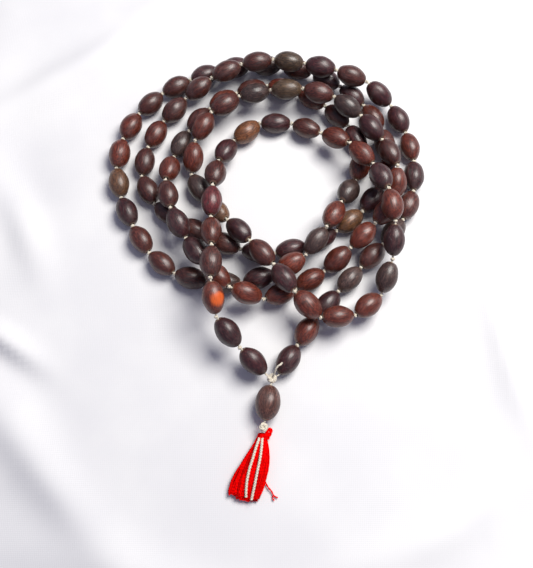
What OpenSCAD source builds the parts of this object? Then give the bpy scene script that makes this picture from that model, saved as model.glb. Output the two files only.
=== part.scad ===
// Mala prayer beads: 108 lotus-seed beads, a guru seed and a cotton tassel, laid down in loose rounds.
// Millimetres. +Z is up, the beads rest on z = 0, and the tassel points to -Y.

/* [Seeds] */
// length of one seed along its hole
seed_l = 13; // [9:0.5:18]
// largest diameter of one seed
seed_d = 9.2; // [6:0.1:13]
// diameter of the drilled hole
hole_d = 1.5; // [1.2:0.1:2.4]
// space between two seeds, where the knot sits
seed_gap = 1.7; // [1.4:0.1:3]

/* [Cord] */
// diameter of the stringing cord
cord_d = 1; // [0.6:0.1:1.2]
// diameter of the knots between the seeds
knot_d = 1.9; // [1.5:0.1:2.2]
// diameter of the knot that gathers both ends
gather_d = 4.2; // [3:0.1:6]

/* [Guru seed] */
// length of the guru seed
guru_l = 14.4; // [10:0.2:20]
// largest diameter of the guru seed
guru_d = 10.8; // [8:0.2:14]
// diameter of the knot below the guru seed
lower_d = 3.8; // [3:0.1:5]

/* [Tassel] */
// length of the tassel from its neck to its tips
tassel_l = 25.5; // [18:0.5:45]
// thickness of the tassel where it lies on the table
tassel_t = 4.6; // [3:0.2:8]
// diameter of the twisted cord ends on the tassel
twist_d = 1.2; // [0.8:0.1:1.8]

/* [Hidden] */
n_seeds = 108;
pitch = seed_l + seed_gap;
hole_r = hole_d / 2;
cord_r = cord_d / 2;
rest_gap = 0.4;
climb = 0.42 * pitch;

// Where the strand runs on the table, [x, y], about one point for every two seeds.
route = [
    [0, -50], [-20, -29], [-22, -3], [-23, 24], [-18, 51], [2, 66], [28, 56], [46, 38], [53, 9],
    [46, -19], [22, -28], [1, -4], [-17, 16],
    [-33, 39], [-25, 65], [-1, 77], [27, 74], [48, 56], [57, 30], [40, 8],
    [15, -12], [-9, -19], [-30, 1], [-43, 28], [-39, 53], [-23, 74], [1, 84],
    [26, 74], [43, 50], [32, 24], [15, -2], [-13, -11],
    [-42, -5], [-60, 20], [-66, 48], [-54, 74], [-28, 90],
    [1, 95], [29, 87], [51, 63], [51, 34], [29, 12], [1, 2], [-29, 12],
    [-53, 31], [-51, 57], [-32, 80], [-2, 92], [27, 87], [54, 76],
    [65, 47], [60, 20], [39, -5], [21, -25], [5, -50]
];

// The route as a smooth curve: Catmull-Rom through its points, each span cut into steps.
steps = 8;
last = len(route) - 1;
function rp(i) = i < 0 ? 2 * route[0] - route[1]
    : i > last ? 2 * route[last] - route[last - 1]
    : route[i];
function span_point(a, b, c, d, t) =
    0.5 * (2 * b + (c - a) * t + (2 * a - 5 * b + 4 * c - d) * t * t + (3 * b - a - 3 * c + d) * t * t * t);
curve = [
    for (i = [0 : last - 1]) for (k = [0 : steps - 1])
        span_point(rp(i - 1), rp(i), rp(i + 1), rp(i + 2), k / steps),
    route[last]
];
n_curve = len(curve);
function sums(v, i = 0, acc = [0]) =
    i == len(v) ? acc : sums(v, i + 1, concat(acc, [acc[i] + v[i]]));
curve_s = sums([for (i = [0 : n_curve - 2]) norm(curve[i + 1] - curve[i])]);
route_l = curve_s[n_curve - 1];
// The drawn route is stretched until it holds all the seeds.
plan_k = n_seeds * pitch / route_l;

// A point at a distance along the curve, found by halving.
function find(s, lo, hi) =
    hi - lo < 2 ? lo
    : let (mid = floor((lo + hi) / 2)) curve_s[mid] > s ? find(s, lo, mid) : find(s, mid, hi);
function along(s) =
    let (i = find(s, 0, n_curve - 1), t = (s - curve_s[i]) / (curve_s[i + 1] - curve_s[i]))
        curve[i] + (curve[i + 1] - curve[i]) * t;

// Distances along the curve that leave the same straight length between neighbouring knots.
function even_out(s, rounds) =
    rounds == 0 ? s
    : let (
        p = [for (v = s) along(v)],
        d = [for (i = [0 : n_seeds - 1]) (s[i + 1] - s[i]) / norm(p[i + 1] - p[i])],
        t = sums(d)
    ) even_out([for (v = t) v * route_l / t[n_seeds]], rounds - 1);
knot_s = even_out([for (i = [0 : n_seeds]) i * route_l / n_seeds], 3);
plan = [for (v = knot_s) plan_k * along(v)];

// No two seeds are quite the same size.
function vary(i) = 0.5 * sin(137.5 * i) + 0.5 * sin(61 * i + 20);
function seed_len(i) = seed_l * (1 + 0.02 * vary(i));
function seed_dia(i) = seed_d * (1 + 0.04 * vary(i));

// A seed's side is an arc; its radius and how far its centre lies behind the axis.
tip_r = 0.2 * seed_d;
function side_r(l, d) =
    let (h = d / 2 - tip_r, z2 = l * l / 4 - tip_r * tip_r) (h * h + z2) / (2 * h);
function girth(l, d, t) =
    let (r = side_r(l, d), c = r - d / 2) r - sqrt(c * c + t * t);

// Each seed is felt at seven places on its axis: [share of the chord, x, y, radius].
feel = [-0.7, -0.5, -0.25, 0, 0.25, 0.5, 0.7];
spots = [
    for (i = [0 : n_seeds - 1]) [
        for (f = feel)
            let (t = f * seed_len(i) / 2, p = 0.5 + t / pitch, q = plan[i] * (1 - p) + plan[i + 1] * p)
                [p, q[0], q[1], girth(seed_len(i), seed_dia(i), t)]
    ]
];

// Which seed lies on top: the earlier one, but the last round lies over the third and fourth.
late = 90;
function rank(i) = i < late ? i : 45.5 + i / 1000;
function under(i) = [
    for (j = [0 : n_seeds - 1])
        if (abs(i - j) > 1 && rank(i) < rank(j))
            if (norm(plan[i] + plan[i + 1] - plan[j] - plan[j + 1]) < 2.2 * seed_l) j
];

// What holds a seed up: [share of its chord, other seed or -1 for the table, share there, height above].
holds = [
    for (i = [0 : n_seeds - 1]) concat(
        [for (a = spots[i]) [a[0], -1, 0, a[3]]],
        [
            for (j = under(i)) for (a = spots[i]) for (b = spots[j])
                let (
                    reach = a[3] + b[3] + rest_gap,
                    left = reach * reach - (a[1] - b[1]) * (a[1] - b[1]) - (a[2] - b[2]) * (a[2] - b[2])
                )
                    if (left > 0) [a[0], j, b[0], sqrt(left)]
        ]
    )
];
function lift_of(i, z) = [
    for (h = holds[i])
        let (
            floor_z = h[1] < 0 ? 0 : z[h[1]] * (1 - h[2]) + z[h[1] + 1] * h[2],
            miss = floor_z + h[3] - z[i] * (1 - h[0]) - z[i + 1] * h[0]
        )
            miss <= 0 ? [0, 0] : [miss * (1 - h[0]), miss * h[0]] / (h[0] * h[0] + (1 - h[0]) * (1 - h[0]))
];
// One round of lifting every knot as much as its two seeds ask, then keeping the climb gentle.
function lift(z) =
    let (
        m = [for (i = [0 : n_seeds - 1]) lift_of(i, z)],
        lo = [for (v = m) max([for (w = v) w[0]])],
        hi = [for (v = m) max([for (w = v) w[1]])],
        y = [
            for (k = [0 : n_seeds])
                z[k] + 0.8 * max(k < n_seeds ? lo[k] : 0, k > 0 ? hi[k - 1] : 0)
        ]
    ) [
        for (k = [0 : n_seeds])
            max(y[k], k > 0 ? y[k - 1] - climb : 0, k < n_seeds ? y[k + 1] - climb : 0)
    ];
function settle(z, rounds) = rounds == 0 ? z : settle(lift(z), rounds - 1);
height = settle([for (k = [0 : n_seeds]) 0], 16);
knots = [for (k = [0 : n_seeds]) [plan[k][0], plan[k][1], height[k]]];

// Pendant: both ends meet at the gathering knot, and a cord runs through the guru seed to the lower knot.
gather_r = gather_d / 2;
lower_r = lower_d / 2;
slack = 0.15;
pend_z = guru_d / 2;
gather_at = [(plan[0][0] + plan[n_seeds][0]) / 2 - 0.3, plan[0][1] + 0.45 - 0.9 * gather_r, pend_z];
pend_turn = atan2(-20, -3.4);
pend_dir = [cos(pend_turn), sin(pend_turn), 0];
tip_gap = 0.8;
guru_at = gather_at + pend_dir * (gather_r + tip_gap + guru_l / 2);
lower_at = guru_at + pend_dir * (guru_l / 2 + tip_gap + lower_r);

// Tassel outline from its neck down: [x, share of the length, half width, share of the thickness].
tassel_form = [
    [-0.4, 0, 1.5, 0.62], [-0.9, 0.1, 2.3, 0.8], [-1.6, 0.22, 4, 0.95], [-2.8, 0.38, 5.6, 1],
    [-4.6, 0.56, 7, 0.95], [-6.2, 0.74, 7.6, 0.85], [-7.2, 0.88, 7, 0.7], [-7.7, 1, 5.8, 0.55]
];
neck_y = lower_at[1] - 2.4;
tassel_k = tassel_l / 25.5;
function form(u, k) =
    let (
        m = len(tassel_form) - 1, i = min(floor(u * m), m - 1), t = u * m - i,
        a = tassel_form[max(i - 1, 0)][k], b = tassel_form[i][k],
        c = tassel_form[i + 1][k], d = tassel_form[min(i + 2, m)][k]
    ) span_point(a, b, c, d, t);
function tassel_mid(u) = [lower_at[0] + tassel_k * form(u, 0), neck_y - tassel_l * form(u, 1)];
function tassel_top(u) = tassel_t * form(u, 3);
neck_rise = 1.6;
function tassel_low(u) = neck_rise * pow(max(1 - 4 * u, 0), 2);

function unit(v) = v / norm(v);
function tube_dir(p, i) =
    unit((i < len(p) - 1 ? unit(p[i + 1] - p[i]) : [0, 0, 0]) + (i > 0 ? unit(p[i] - p[i - 1]) : [0, 0, 0]));

// A cord as one closed mesh: a ring of corners at every route point, square to the route there.
module tube(p, r, sides = 8) {
    rings = [
        for (i = [0 : len(p) - 1])
            let (f = tube_dir(p, i), s = unit(cross(f, [0, 0, 1])), n = cross(s, f))
                for (k = [0 : sides - 1])
                    p[i] + r * (cos(360 * k / sides) * s + sin(360 * k / sides) * n)
    ];
    m = len(p);
    sheets = [
        for (i = [0 : m - 2]) for (k = [0 : sides - 1])
            let (a = i * sides + k, b = i * sides + (k + 1) % sides)
                [a, b, b + sides, a + sides]
    ];
    end_a = [for (k = [sides - 1 : -1 : 0]) k];
    end_b = [for (k = [0 : sides - 1]) (m - 1) * sides + k];
    polyhedron(points = rings, faces = concat([end_a], sheets, [end_b]), convexity = 10);
}

// One drilled seed, standing on its hole's axis and centred on it. A hair is taken off its waist, which
// leaves a narrow straight belt there.
waist_cut = 0.01;
module seed_body(l, d) {
    r = side_r(l, d);
    rotate_extrude($fn = 48)
        intersection() {
            translate([d / 2 - r, 0])
                circle(r = r);
            circle(r = l / 2);
            translate([hole_r, -l])
                square([d / 2 - waist_cut - hole_r, 2 * l]);
        }
}

module seed(i) {
    a = knots[i - 1];
    b = knots[i];
    f = unit(b - a);
    translate((a + b) / 2)
        rotate([0, acos(f[2]), atan2(f[1], f[0])])
            seed_body(seed_len(i - 1), seed_dia(i - 1));
}

module brown_seed(i) {
    color([0.27, 0.17, 0.15])
        seed(i);
}

module seed_group(first, final) {
    color([0.27, 0.17, 0.15])
        for (i = [first : final])
            seed(i);
}

// The cord's ends stop just short of the gathering knot, so that the knot can swing.
module strand_cord() {
    start = gather_at + (gather_r + slack) * unit(knots[0] - gather_at);
    finish = gather_at + (gather_r + slack) * unit(knots[n_seeds] - gather_at);
    color([0.9, 0.87, 0.78])
        tube(concat([start], knots, [finish]), cord_r);
}

module strand_knots() {
    color([0.9, 0.87, 0.78])
        for (k = [1 : n_seeds - 1])
            translate(knots[k])
                sphere(d = knot_d, $fn = 24);
}

module gathering_knot() {
    color([0.9, 0.87, 0.78])
        translate(gather_at)
            sphere(r = gather_r, $fn = 32);
}

// The short cut end that curls up out of the gathering knot.
tail_run = [
    [0.6, 0.8, 1.2], [1, 1.6, 2.4], [1.3, 2.4, 3.6], [1.8, 3.3, 4.6],
    [2.6, 4.1, 5.1], [3.5, 4.6, 5.2], [4.1, 5.4, 5]
];
module knot_tail() {
    color([0.9, 0.87, 0.78])
        tube([for (v = tail_run) gather_at + gather_r / 2.1 * v], 0.45);
}

module pendant_cord() {
    from = gather_at + pend_dir * (gather_r + slack);
    to = lower_at - pend_dir * (lower_r + slack);
    color([0.9, 0.87, 0.78])
        translate(from)
            rotate([0, 90, pend_turn])
                cylinder(r = cord_r, h = norm(to - from), $fn = 24);
}

module guru_seed() {
    color([0.36, 0.24, 0.19])
        translate(guru_at)
            rotate([0, 90, pend_turn])
                seed_body(guru_l, guru_d);
}

module lower_knot() {
    color([0.9, 0.87, 0.78])
        translate(lower_at)
            sphere(r = lower_r, $fn = 32);
}

// The small thread loop beside the lower knot.
module tassel_loop() {
    color([0.78, 0.04, 0.05])
        translate([lower_at[0] + lower_r + 1.4, lower_at[1] - 1.9, lower_at[2] - 1.7])
            rotate([25, 0, 0])
                rotate_extrude($fn = 32)
                    translate([1.3, 0])
                        circle(d = 0.8, $fn = 16);
}

// The bundle of threads lying flat, as one closed mesh of flattened rings.
skirt_rings = 21;
skirt_sides = 24;
module tassel_skirt() {
    pts = [
        for (i = [0 : skirt_rings - 1])
            let (u = i / (skirt_rings - 1), m = tassel_mid(u), w = tassel_k * form(u, 2),
                lo = tassel_low(u), hi = lo + tassel_top(u))
                for (k = [0 : skirt_sides - 1])
                    let (q = 360 * k / skirt_sides, c = cos(q), s = sin(q))
                        [m[0] + w * c, m[1], lo + (hi - lo) * (0.3 + (s < 0 ? 0.3 : 0.7) * s)]
    ];
    sheets = [
        for (i = [0 : skirt_rings - 2]) for (k = [0 : skirt_sides - 1])
            let (a = i * skirt_sides + k, b = i * skirt_sides + (k + 1) % skirt_sides)
                for (f = [[a, b, b + skirt_sides], [a, b + skirt_sides, a + skirt_sides]]) f
    ];
    end_a = [for (k = [skirt_sides - 1 : -1 : 0]) k];
    end_b = [for (k = [0 : skirt_sides - 1]) (skirt_rings - 1) * skirt_sides + k];
    color([0.78, 0.04, 0.05])
        polyhedron(points = pts, faces = concat([end_a], sheets, [end_b]), convexity = 4);
}

// A cord end lying on the tassel, off centre by a share of the half width at neck and tip.
module cord_end(near, far, final) {
    run = [
        for (i = [0 : 14])
            let (
                u = 0.06 + (final - 0.06) * i / 14, m = tassel_mid(u), off = near + (far - near) * i / 14,
                top = tassel_low(u) + tassel_top(u) * (0.3 + 0.7 * sqrt(1 - off * off))
            )
                [m[0] + off * tassel_k * form(u, 2), m[1], top + twist_d / 2 - 0.1]
    ];
    color([0.88, 0.83, 0.72])
        tube(run, twist_d / 2);
}

module cord_end_left() {
    cord_end(-0.5, -0.12, 0.97);
}

module cord_end_right() {
    cord_end(0.4, 0.36, 1);
}

// A single thread that has come out of the tassel and forks near its end.
module stray_thread() {
    a = [tassel_mid(0.7)[0] + 6.6 * tassel_k, tassel_mid(0.7)[1], 0.5];
    b = a + tassel_k * [3.4, -5.4, 0];
    color([0.78, 0.04, 0.05]) {
        tube([a, a + tassel_k * [1.2, -2.2, 0.3], a + tassel_k * [2.6, -3.8, 0.2],
            b, b + tassel_k * [1.6, -0.8, 0]], 0.35);
        tube([b - [0.3, 0, 0], b + tassel_k * [-0.4, -1, 0], b + tassel_k * [0.2, -1.9, 0]], 0.3);
    }
}

// Draw the chosen node, or all of them.
strand_cord();
strand_knots();
gathering_knot();
knot_tail();
pendant_cord();
guru_seed();
lower_knot();
tassel_loop();
tassel_skirt();
cord_end_left();
cord_end_right();
stray_thread();
brown_seed(1);  // seed_01
brown_seed(2);  // seed_02
brown_seed(3);  // seed_03
brown_seed(4);  // seed_04
brown_seed(5);  // seed_05
brown_seed(6);  // seed_06
brown_seed(7);  // seed_07
brown_seed(8);  // seed_08
brown_seed(9);  // seed_09
brown_seed(10);  // seed_10
brown_seed(11);  // seed_11
brown_seed(12);  // seed_12
brown_seed(13);  // seed_13
brown_seed(14);  // seed_14
brown_seed(15);  // seed_15
brown_seed(16);  // seed_16
brown_seed(17);  // seed_17
brown_seed(18);  // seed_18
brown_seed(19);  // seed_19
brown_seed(20);  // seed_20
brown_seed(21);  // seed_21
brown_seed(22);  // seed_22
brown_seed(23);  // seed_23
brown_seed(24);  // seed_24
brown_seed(25);  // seed_25
brown_seed(26);  // seed_26
brown_seed(27);  // seed_27
brown_seed(28);  // seed_28
brown_seed(29);  // seed_29
brown_seed(30);  // seed_30
brown_seed(31);  // seed_31
brown_seed(32);  // seed_32
brown_seed(33);  // seed_33
brown_seed(34);  // seed_34
brown_seed(35);  // seed_35
brown_seed(36);  // seed_36
brown_seed(37);  // seed_37
brown_seed(38);  // seed_38
brown_seed(39);  // seed_39
brown_seed(40);  // seed_40
brown_seed(41);  // seed_41
brown_seed(42);  // seed_42
seed_group(43, 53);  // seeds_43_53
seed_group(54, 64);  // seeds_54_64
seed_group(65, 75);  // seeds_65_75
seed_group(76, 86);  // seeds_76_86
seed_group(87, 97);  // seeds_87_97
seed_group(98, 108);  // seeds_98_108
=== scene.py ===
# %% [markdown]
# # Mala prayer beads
#
# A mala is a string of 108 drilled seeds for counting prayers. These are lotus seeds: hard, dark brown
# and a little shorter than a thumbnail. A cotton cord runs through them with a knot between each two.
# The string lies in loose rounds on a cloth, and its two ends meet in a gathering knot, a larger guru
# seed and a red cotton tassel.
#
# The exact solids come from the CAD model. This script gives every piece the shape, the colours and the
# finish of the real thing.

# %% Load the frame
import math
import bpy
import numpy as np
from mathutils import Matrix, Vector


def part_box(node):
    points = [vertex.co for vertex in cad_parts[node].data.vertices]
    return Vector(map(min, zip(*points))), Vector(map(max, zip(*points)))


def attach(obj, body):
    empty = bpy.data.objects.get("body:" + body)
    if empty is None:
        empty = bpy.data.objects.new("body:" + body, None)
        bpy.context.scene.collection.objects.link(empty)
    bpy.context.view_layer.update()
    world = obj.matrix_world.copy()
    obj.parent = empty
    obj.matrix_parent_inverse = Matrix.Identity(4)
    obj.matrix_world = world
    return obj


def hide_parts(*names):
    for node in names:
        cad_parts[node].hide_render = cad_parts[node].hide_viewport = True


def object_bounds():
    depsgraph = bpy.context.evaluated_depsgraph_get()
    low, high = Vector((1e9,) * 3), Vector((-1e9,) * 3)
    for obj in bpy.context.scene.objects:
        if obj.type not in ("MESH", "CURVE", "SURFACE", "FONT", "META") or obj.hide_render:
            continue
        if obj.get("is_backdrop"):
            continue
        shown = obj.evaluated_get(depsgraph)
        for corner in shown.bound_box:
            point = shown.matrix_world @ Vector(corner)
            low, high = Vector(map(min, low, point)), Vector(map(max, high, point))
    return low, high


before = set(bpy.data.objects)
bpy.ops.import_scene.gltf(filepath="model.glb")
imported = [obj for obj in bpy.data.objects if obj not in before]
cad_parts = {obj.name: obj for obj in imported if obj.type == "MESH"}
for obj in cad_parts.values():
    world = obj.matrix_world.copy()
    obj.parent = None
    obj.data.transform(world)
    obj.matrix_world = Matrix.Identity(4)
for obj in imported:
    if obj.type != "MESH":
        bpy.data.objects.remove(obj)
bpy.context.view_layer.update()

# %% [markdown]
# ## The camera
#
# The beads are seen from above and a little from the tassel's side, as by someone who stands at a table.
# The camera looks at the middle of the laid-out string from a third of a metre away.

# %% Camera
CAMERA_AWAY = 0.330
CAMERA_TILT = math.radians(18)
LOOK_AT = Vector((0.0, -0.010, 0.0))

camera_data = bpy.data.cameras.new("camera")
camera_data.lens = 51.8
camera_data.sensor_width = 36
camera_data.sensor_fit = "HORIZONTAL"
camera = bpy.data.objects.new("camera", camera_data)
bpy.context.scene.collection.objects.link(camera)
camera.location = LOOK_AT + CAMERA_AWAY * Vector((0, -math.sin(CAMERA_TILT), math.cos(CAMERA_TILT)))
camera.rotation_euler = (CAMERA_TILT, 0, 0)
bpy.context.scene.camera = camera
print("camera at", [round(v, 3) for v in camera.location])

# %% [markdown]
# ## Where the strand lies
#
# The cord's route is drawn as a list of points on the table, one for about every two seeds, and made
# smooth with a Catmull-Rom curve. The knots are then spread along it at even straight distances, because
# the cord between two knots is straight inside its seed.
#
# These are the same points and the same steps as in the CAD source, in metres.

# %% Sizes of the seeds and the route on the table
N_SEEDS = 108
SEED_LONG, SEED_WIDE = 0.0130, 0.0092
SEED_GAP = 0.0017
PITCH = SEED_LONG + SEED_GAP
TIP = 0.2 * SEED_WIDE
OWN_BODY = 42  # seeds that turn on the cord by themselves; the later ones ride on the strand
GROUP = 11  # seeds that share one piece, after those
SLACK = 0.00015  # gap between a fat knot and a cord that ends at it
ROUTE = 0.001 * np.array([
    (0, -50), (-20, -29), (-22, -3), (-23, 24), (-18, 51), (2, 66), (28, 56), (46, 38), (53, 9),
    (46, -19), (22, -28), (1, -4), (-17, 16),
    (-33, 39), (-25, 65), (-1, 77), (27, 74), (48, 56), (57, 30), (40, 8),
    (15, -12), (-9, -19), (-30, 1), (-43, 28), (-39, 53), (-23, 74), (1, 84),
    (26, 74), (43, 50), (32, 24), (15, -2), (-13, -11),
    (-42, -5), (-60, 20), (-66, 48), (-54, 74), (-28, 90),
    (1, 95), (29, 87), (51, 63), (51, 34), (29, 12), (1, 2), (-29, 12),
    (-53, 31), (-51, 57), (-32, 80), (-2, 92), (27, 87), (54, 76),
    (65, 47), (60, 20), (39, -5), (21, -25), (5, -50),
], float)

# %% The route as a smooth curve
def smooth_curve(points, steps=8):
    p = np.vstack([2 * points[0] - points[1], points, 2 * points[-1] - points[-2]])
    out = []
    for a, b, c, d in zip(p[:-3], p[1:-2], p[2:-1], p[3:]):
        for t in np.arange(steps) / steps:
            out.append(0.5 * (2 * b + (c - a) * t + (2 * a - 5 * b + 4 * c - d) * t**2
                              + (3 * b - a - 3 * c + d) * t**3))
    return np.vstack([out, points[-1]])


curve = smooth_curve(ROUTE)
reach = np.r_[0, np.cumsum(np.linalg.norm(np.diff(curve, axis=0), axis=1))]


def along(s):
    return np.column_stack([np.interp(s, reach, curve[:, k]) for k in (0, 1)])


knot_s = np.linspace(0, reach[-1], N_SEEDS + 1)
for _ in range(3):
    gaps = np.linalg.norm(np.diff(along(knot_s), axis=0), axis=1)
    knot_s = np.r_[0, np.cumsum(np.diff(knot_s) / gaps)]
    knot_s *= reach[-1] / knot_s[-1]
plan = along(knot_s) * N_SEEDS * PITCH / reach[-1]
print("route drawn", round(reach[-1], 3), "m, stretched by", round(N_SEEDS * PITCH / reach[-1], 4))

# %% [markdown]
# Where rounds cross, the upper seeds rest on the lower ones. Each seed is felt at seven places along its
# axis. Every knot starts on the table and is lifted, pass by pass, until no seed sinks into the table
# or into a seed below it. A cord can't climb like a stair, so a knot also follows its neighbours up. About
# a quarter of the seeds are carried by their neighbours in this way and touch nothing below. A real limp
# strand would sag there.

# %% Seeds of slightly different size
number = np.arange(N_SEEDS)
vary = 0.5 * np.sin(np.radians(137.5 * number)) + 0.5 * np.sin(np.radians(61 * number + 20))
seed_long = SEED_LONG * (1 + 0.02 * vary)
seed_wide = SEED_WIDE * (1 + 0.04 * vary)


def girth(long, wide, t):
    """Radius of the ball that fits inside a seed at a distance t from its middle."""
    h = wide / 2 - TIP
    r = (h * h + long * long / 4 - TIP * TIP) / (2 * h)
    return r - np.sqrt((r - wide / 2) ** 2 + t * t)


REST_GAP = 0.0004  # between two seeds that lie on each other
NEAR = 1.1 * SEED_LONG  # seeds further apart than this can't touch
feel = np.array([-0.7, -0.5, -0.25, 0, 0.25, 0.5, 0.7])
feel_at = feel[None, :] * seed_long[:, None] / 2
feel_r = girth(seed_long[:, None], seed_wide[:, None], feel_at)
share = 0.5 + feel_at / PITCH
spots = plan[:-1, None] * (1 - share[..., None]) + plan[1:, None] * share[..., None]

# %% Which seed holds up which
# The seed with the lower rank lies on top. The last round lies over seeds 47 to 90 and under seeds 1 to 46.
LAST_ROUND, LAST_ROUND_RANK = 90, 45.5
rank = np.where(number < LAST_ROUND, number, LAST_ROUND_RANK + number / 1000)
middle = (plan[:-1] + plan[1:]) / 2
holds = []
for i in range(N_SEEDS):
    for a in range(len(feel)):
        holds.append((i, share[i, a], -1, 0.0, feel_r[i, a]))
    for j in range(N_SEEDS):
        if abs(i - j) < 2 or rank[i] >= rank[j] or np.linalg.norm(middle[i] - middle[j]) >= NEAR:
            continue
        room = (feel_r[i][:, None] + feel_r[j] + REST_GAP) ** 2
        room = room - ((spots[i][:, None] - spots[j]) ** 2).sum(-1)
        for a, b in np.argwhere(room > 0):
            holds.append((i, share[i, a], j, share[j, b], math.sqrt(room[a, b])))
print(len(holds), "places where a seed can rest")

# %% Lift the knots until no seed sinks in
CLIMB = 0.42 * PITCH  # the most that a knot may lie below its neighbour
upper, part, lower, lower_part, above = (np.array(v) for v in zip(*holds))
height = np.zeros(N_SEEDS + 1)
for _ in range(16):
    ground = height[lower] * (1 - lower_part) + height[lower + 1] * lower_part
    ground[lower < 0] = 0
    miss = ground + above - height[upper] * (1 - part) - height[upper + 1] * part
    pull = np.maximum(miss, 0) / (part**2 + (1 - part) ** 2)
    ask = np.zeros(N_SEEDS + 1)
    np.maximum.at(ask, upper, pull * (1 - part))
    np.maximum.at(ask, upper + 1, pull * part)
    risen = height + 0.8 * ask
    follow = np.r_[risen[1:], 0] - CLIMB, np.r_[0, risen[:-1]] - CLIMB
    height = np.maximum(risen, np.maximum(*follow))
knots = np.column_stack([plan, height])
strand_long = np.linalg.norm(np.diff(knots, axis=0), axis=1).sum()
print("highest knot", round(height.max() * 1000, 1), "mm; strand", round(strand_long, 3), "m")

# %% Check the seeds against the CAD
off = []
for n in range(1, OWN_BODY + 1):
    low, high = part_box(f"seed_{n:02d}")
    off.append(np.abs((np.array(low) + np.array(high)) / 2 - (knots[n - 1] + knots[n]) / 2).max())
print("seed middles differ from the CAD by at most", round(max(off) * 1000, 4), "mm")

# %% [markdown]
# ## Node trees
#
# Most pieces here are made by Geometry Nodes. A small helper places a node, sets its options and feeds its
# sockets, so that each tree below reads like a recipe.

# %% Helpers for node trees
def feed(tree, socket, value):
    """Link a socket to another node's output, or give it a plain value."""
    if isinstance(value, bpy.types.NodeSocket):
        tree.links.new(value, socket)
    else:
        socket.default_value = value


def put(tree, kind, options=None, feeds=None, out=0):
    n = tree.nodes.new(kind)
    for key, value in (options or {}).items():
        setattr(n, key, value)
    for key, value in (feeds or {}).items():
        feed(tree, n.inputs[key], value)
    return n.outputs[out] if n.outputs else n


def sums(tree, kind, *values):
    return put(tree, "ShaderNodeMath", {"operation": kind}, dict(enumerate(values)))


def vectors(tree, kind, *values):
    n = tree.nodes.new("ShaderNodeVectorMath")
    n.operation = kind
    for k, value in enumerate(values):
        feed(tree, n.inputs["Scale"] if kind == "SCALE" and k == 1 else n.inputs[k], value)
    return n.outputs["Value"] if kind in ("LENGTH", "DOT_PRODUCT") else n.outputs["Vector"]

# %% Helpers for modifiers
def new_tree(name, sizes):
    """A Geometry Nodes tree with a Geometry input and output and the named sizes."""
    tree = bpy.data.node_groups.new(name, "GeometryNodeTree")
    tree.interface.new_socket("Geometry", in_out="INPUT", socket_type="NodeSocketGeometry")
    tree.interface.new_socket("Geometry", in_out="OUTPUT", socket_type="NodeSocketGeometry")
    for label, (kind, value) in sizes.items():
        socket = tree.interface.new_socket(label, in_out="INPUT", socket_type=kind)
        if value is not None:
            socket.default_value = value
    return tree, tree.nodes.new("NodeGroupInput").outputs


def end_tree(tree, geometry, material):
    solid = put(tree, "GeometryNodeRealizeInstances", feeds={"Geometry": geometry})
    solid = put(tree, "GeometryNodeSetMaterial", feeds={"Geometry": solid, "Material": material})
    tree.links.new(solid, tree.nodes.new("NodeGroupOutput").inputs[0])


def grow(name, start_mesh, tree, values):
    """Run a tree on a mesh and keep the result as a plain mesh object."""
    ob = bpy.data.objects.new(name, start_mesh)
    bpy.context.scene.collection.objects.link(ob)
    mod = ob.modifiers.new("grow", "NODES")
    mod.node_group = tree
    ids = {s.name: s.identifier for s in tree.interface.items_tree if s.in_out == "INPUT"}
    for label, value in values.items():
        mod[ids[label]] = value
    bpy.context.view_layer.update()
    made = bpy.data.meshes.new_from_object(ob.evaluated_get(bpy.context.evaluated_depsgraph_get()))
    ob.modifiers.remove(mod)
    made.name = name
    ob.data = made
    return ob


def dots(name, points, **lists):
    """A mesh of loose points, with a named attribute for each list."""
    mesh = bpy.data.meshes.new(name)
    mesh.from_pydata([tuple(p) for p in points], [], [])
    for label, values in lists.items():
        values = np.array(values, float)
        kind = "FLOAT_VECTOR" if values.ndim == 2 else "FLOAT"
        field = mesh.attributes.new(label, kind, "POINT")
        field.data.foreach_set("vector" if values.ndim == 2 else "value", values.ravel())
    return mesh


def line(name, points):
    mesh = bpy.data.meshes.new(name)
    mesh.from_pydata([tuple(p) for p in points], [(i, i + 1) for i in range(len(points) - 1)], [])
    return mesh

# %% [markdown]
# ## Materials
#
# Three things decide how these beads look: the seed coat, the undyed cotton and the red cotton.
#
# Effects are shader node groups, built once: **streaks** that run along a seed, and **twist**, the slanting
# bands of a spun cord, which both cottons use. Each one only gives a mask that changes over the surface. The
# Principled shader stays in the material.

# %% Helpers for materials
def new_group(name, inputs, outputs):
    tree = bpy.data.node_groups.new(name, "ShaderNodeTree")
    for label, (kind, value) in inputs.items():
        tree.interface.new_socket(label, in_out="INPUT", socket_type=kind).default_value = value
    for label in outputs:
        tree.interface.new_socket(label, in_out="OUTPUT", socket_type="NodeSocketFloat")
    return tree, tree.nodes.new("NodeGroupInput").outputs, tree.nodes.new("NodeGroupOutput").inputs


def new_material(name, **plain):
    material = bpy.data.materials.new(name)
    material.use_nodes = True
    tree = material.node_tree
    shader = tree.nodes["Principled BSDF"]
    for label, value in plain.items():
        shader.inputs[label.replace("_", " ")].default_value = value
    return material, tree, shader


def use_group(tree, group, **values):
    n = tree.nodes.new("ShaderNodeGroup")
    n.node_tree = group
    for label, value in values.items():
        feed(tree, n.inputs[label], value)
    return n.outputs


def field(tree, name, out="Vector"):
    n = tree.nodes.new("ShaderNodeAttribute")
    n.attribute_name = name
    return n.outputs[out]


def blend_colours(tree, amount, a, b):
    n = tree.nodes.new("ShaderNodeMix")
    n.data_type = "RGBA"
    for socket, value in zip((n.inputs[0], n.inputs[6], n.inputs[7]), (amount, a, b)):
        feed(tree, socket, value)
    return n.outputs[2]


def ramp(tree, value, low, high, to_low=0.0, to_high=1.0):
    return put(tree, "ShaderNodeMapRange", {"interpolation_type": "SMOOTHSTEP"},
               {"Value": value, 1: low, 2: high, 3: to_low, 4: to_high})

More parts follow.
